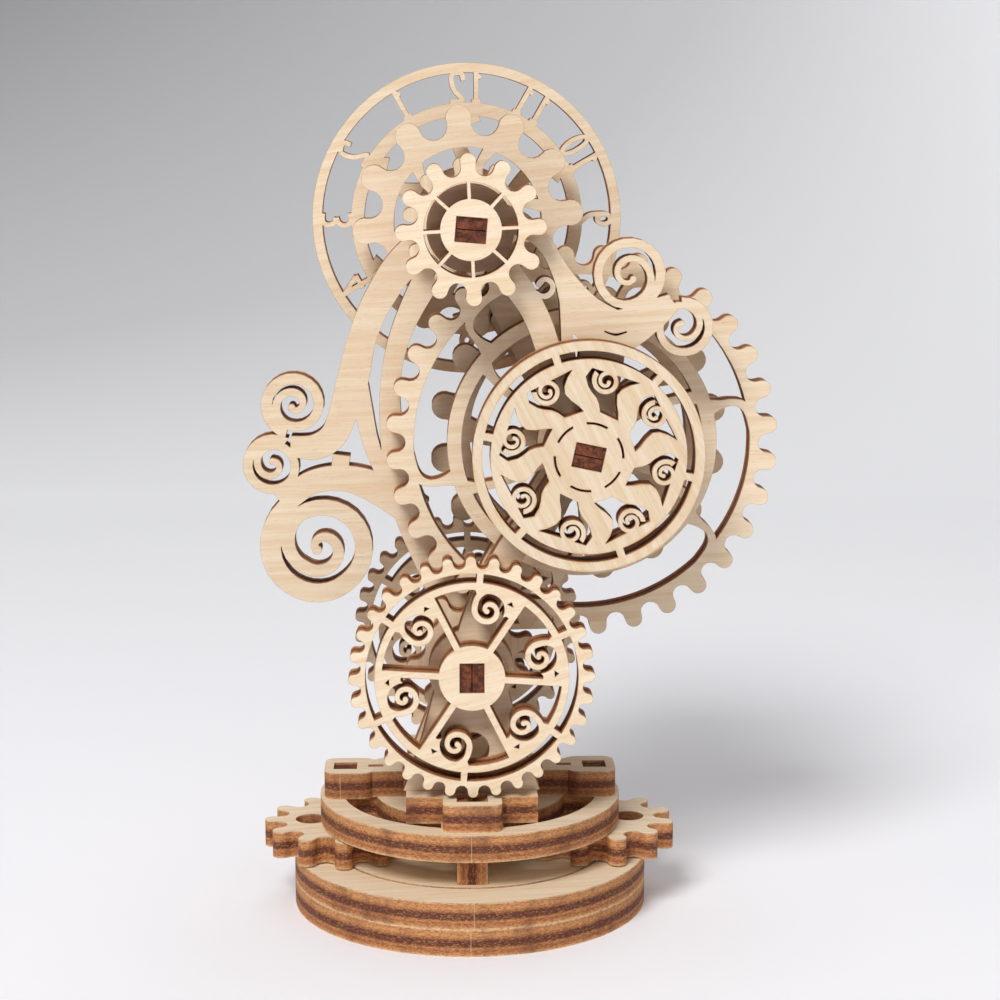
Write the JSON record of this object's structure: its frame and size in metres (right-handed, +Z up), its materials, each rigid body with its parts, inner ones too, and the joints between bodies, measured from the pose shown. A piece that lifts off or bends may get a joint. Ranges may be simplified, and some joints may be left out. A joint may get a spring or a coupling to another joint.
{
  "type": "plywood gear clock model",
  "caption": "Laser-cut plywood clock model with a meshing gear train between scrolled frame plates on a round turning base.",
  "frame": {"origin": "middle of the underside of the round base", "axes": "+Z up, the dial faces +Y, the open gear side faces -Y, +X to the right seen from the open gear side"},
  "size_m": [0.0792, 0.0534, 0.126],
  "materials": {
    "pale_ply": "plain birch plywood, laser cut",
    "light_ply": "plain birch plywood, laser cut",
    "edge_ply": "plywood seen mostly at its scorched edges",
    "dark_ply": "scorched plywood"
  },
  "bodies": {
    "base": {"base_disc": "edge_ply", "base_ring": "edge_ply", "centre_pin": "dark_ply", "sun_gear": "light_ply"},
    "platform": {"turning_disc": "light_ply", "front_post": "dark_ply", "rear_post": "dark_ply", "platform_ring": "edge_ply", "crossbar": "edge_ply", "front_foot": "edge_ply", "rear_foot": "edge_ply", "front_frame": "pale_ply", "middle_frame": "pale_ply", "rear_frame": "light_ply", "dial": "pale_ply", "dial_pegs": "dark_ply", "left_planet_pin": "dark_ply", "right_planet_pin": "dark_ply"},
    "left_planet": {"left_planet_gear": "light_ply"},
    "right_planet": {"right_planet_gear": "light_ply"},
    "low_train": {"low_axle": "dark_ply", "front_wheel": "pale_ply", "low_pinion": "light_ply", "low_bushes": "dark_ply", "low_spacers": "light_ply", "rear_wheel": "light_ply"},
    "middle_train": {"middle_axle": "dark_ply", "ray_disc": "pale_ply", "big_gear": "pale_ply", "drive_gear": "light_ply", "middle_bushes": "dark_ply", "middle_spacer": "light_ply", "middle_collar": "light_ply"},
    "top_train": {"top_axle": "dark_ply", "top_gear": "pale_ply", "top_pinion": "light_ply", "top_bushes": "dark_ply", "top_spacer": "light_ply", "top_collar": "light_ply"},
    "dial_train": {"dial_gear": "pale_ply"}
  },
  "joints": [
    {"name": "platform_turn", "type": "hinge", "parent": "base", "child": "platform", "pos_m": [0, 0, 0], "axis": [0, 0, 1], "continuous": true},
    {"name": "left_planet_spin", "type": "hinge", "parent": "platform", "child": "left_planet", "pos_m": [-0.0189, 0, 0.0103], "axis": [0, 0, 1], "continuous": true},
    {"name": "right_planet_spin", "type": "hinge", "parent": "platform", "child": "right_planet", "pos_m": [0.0189, 0, 0.0103], "axis": [0, 0, 1], "continuous": true},
    {"name": "middle_spin", "type": "hinge", "parent": "platform", "child": "middle_train", "pos_m": [0.0166, 0, 0.07055], "axis": [0, 1, 0], "continuous": true},
    {"name": "low_spin", "type": "hinge", "parent": "platform", "child": "low_train", "pos_m": [0, 0, 0.0386], "axis": [0, 1, 0], "continuous": true},
    {"name": "top_spin", "type": "hinge", "parent": "platform", "child": "top_train", "pos_m": [0, 0, 0.1025], "axis": [0, 1, 0], "continuous": true},
    {"name": "dial_gear_spin", "type": "hinge", "parent": "platform", "child": "dial_train", "pos_m": [0, 0, 0.1025], "axis": [0, 1, 0], "continuous": true}
  ],
  "couplings": [
    {"joint": "left_planet_spin", "follows": "platform_turn", "ratio": 0.75},
    {"joint": "right_planet_spin", "follows": "platform_turn", "ratio": 0.75},
    {"joint": "low_spin", "follows": "middle_spin", "ratio": -3.2},
    {"joint": "top_spin", "follows": "middle_spin", "ratio": -3.2},
    {"joint": "dial_gear_spin", "follows": "middle_spin", "ratio": -1.3333}
  ]
}
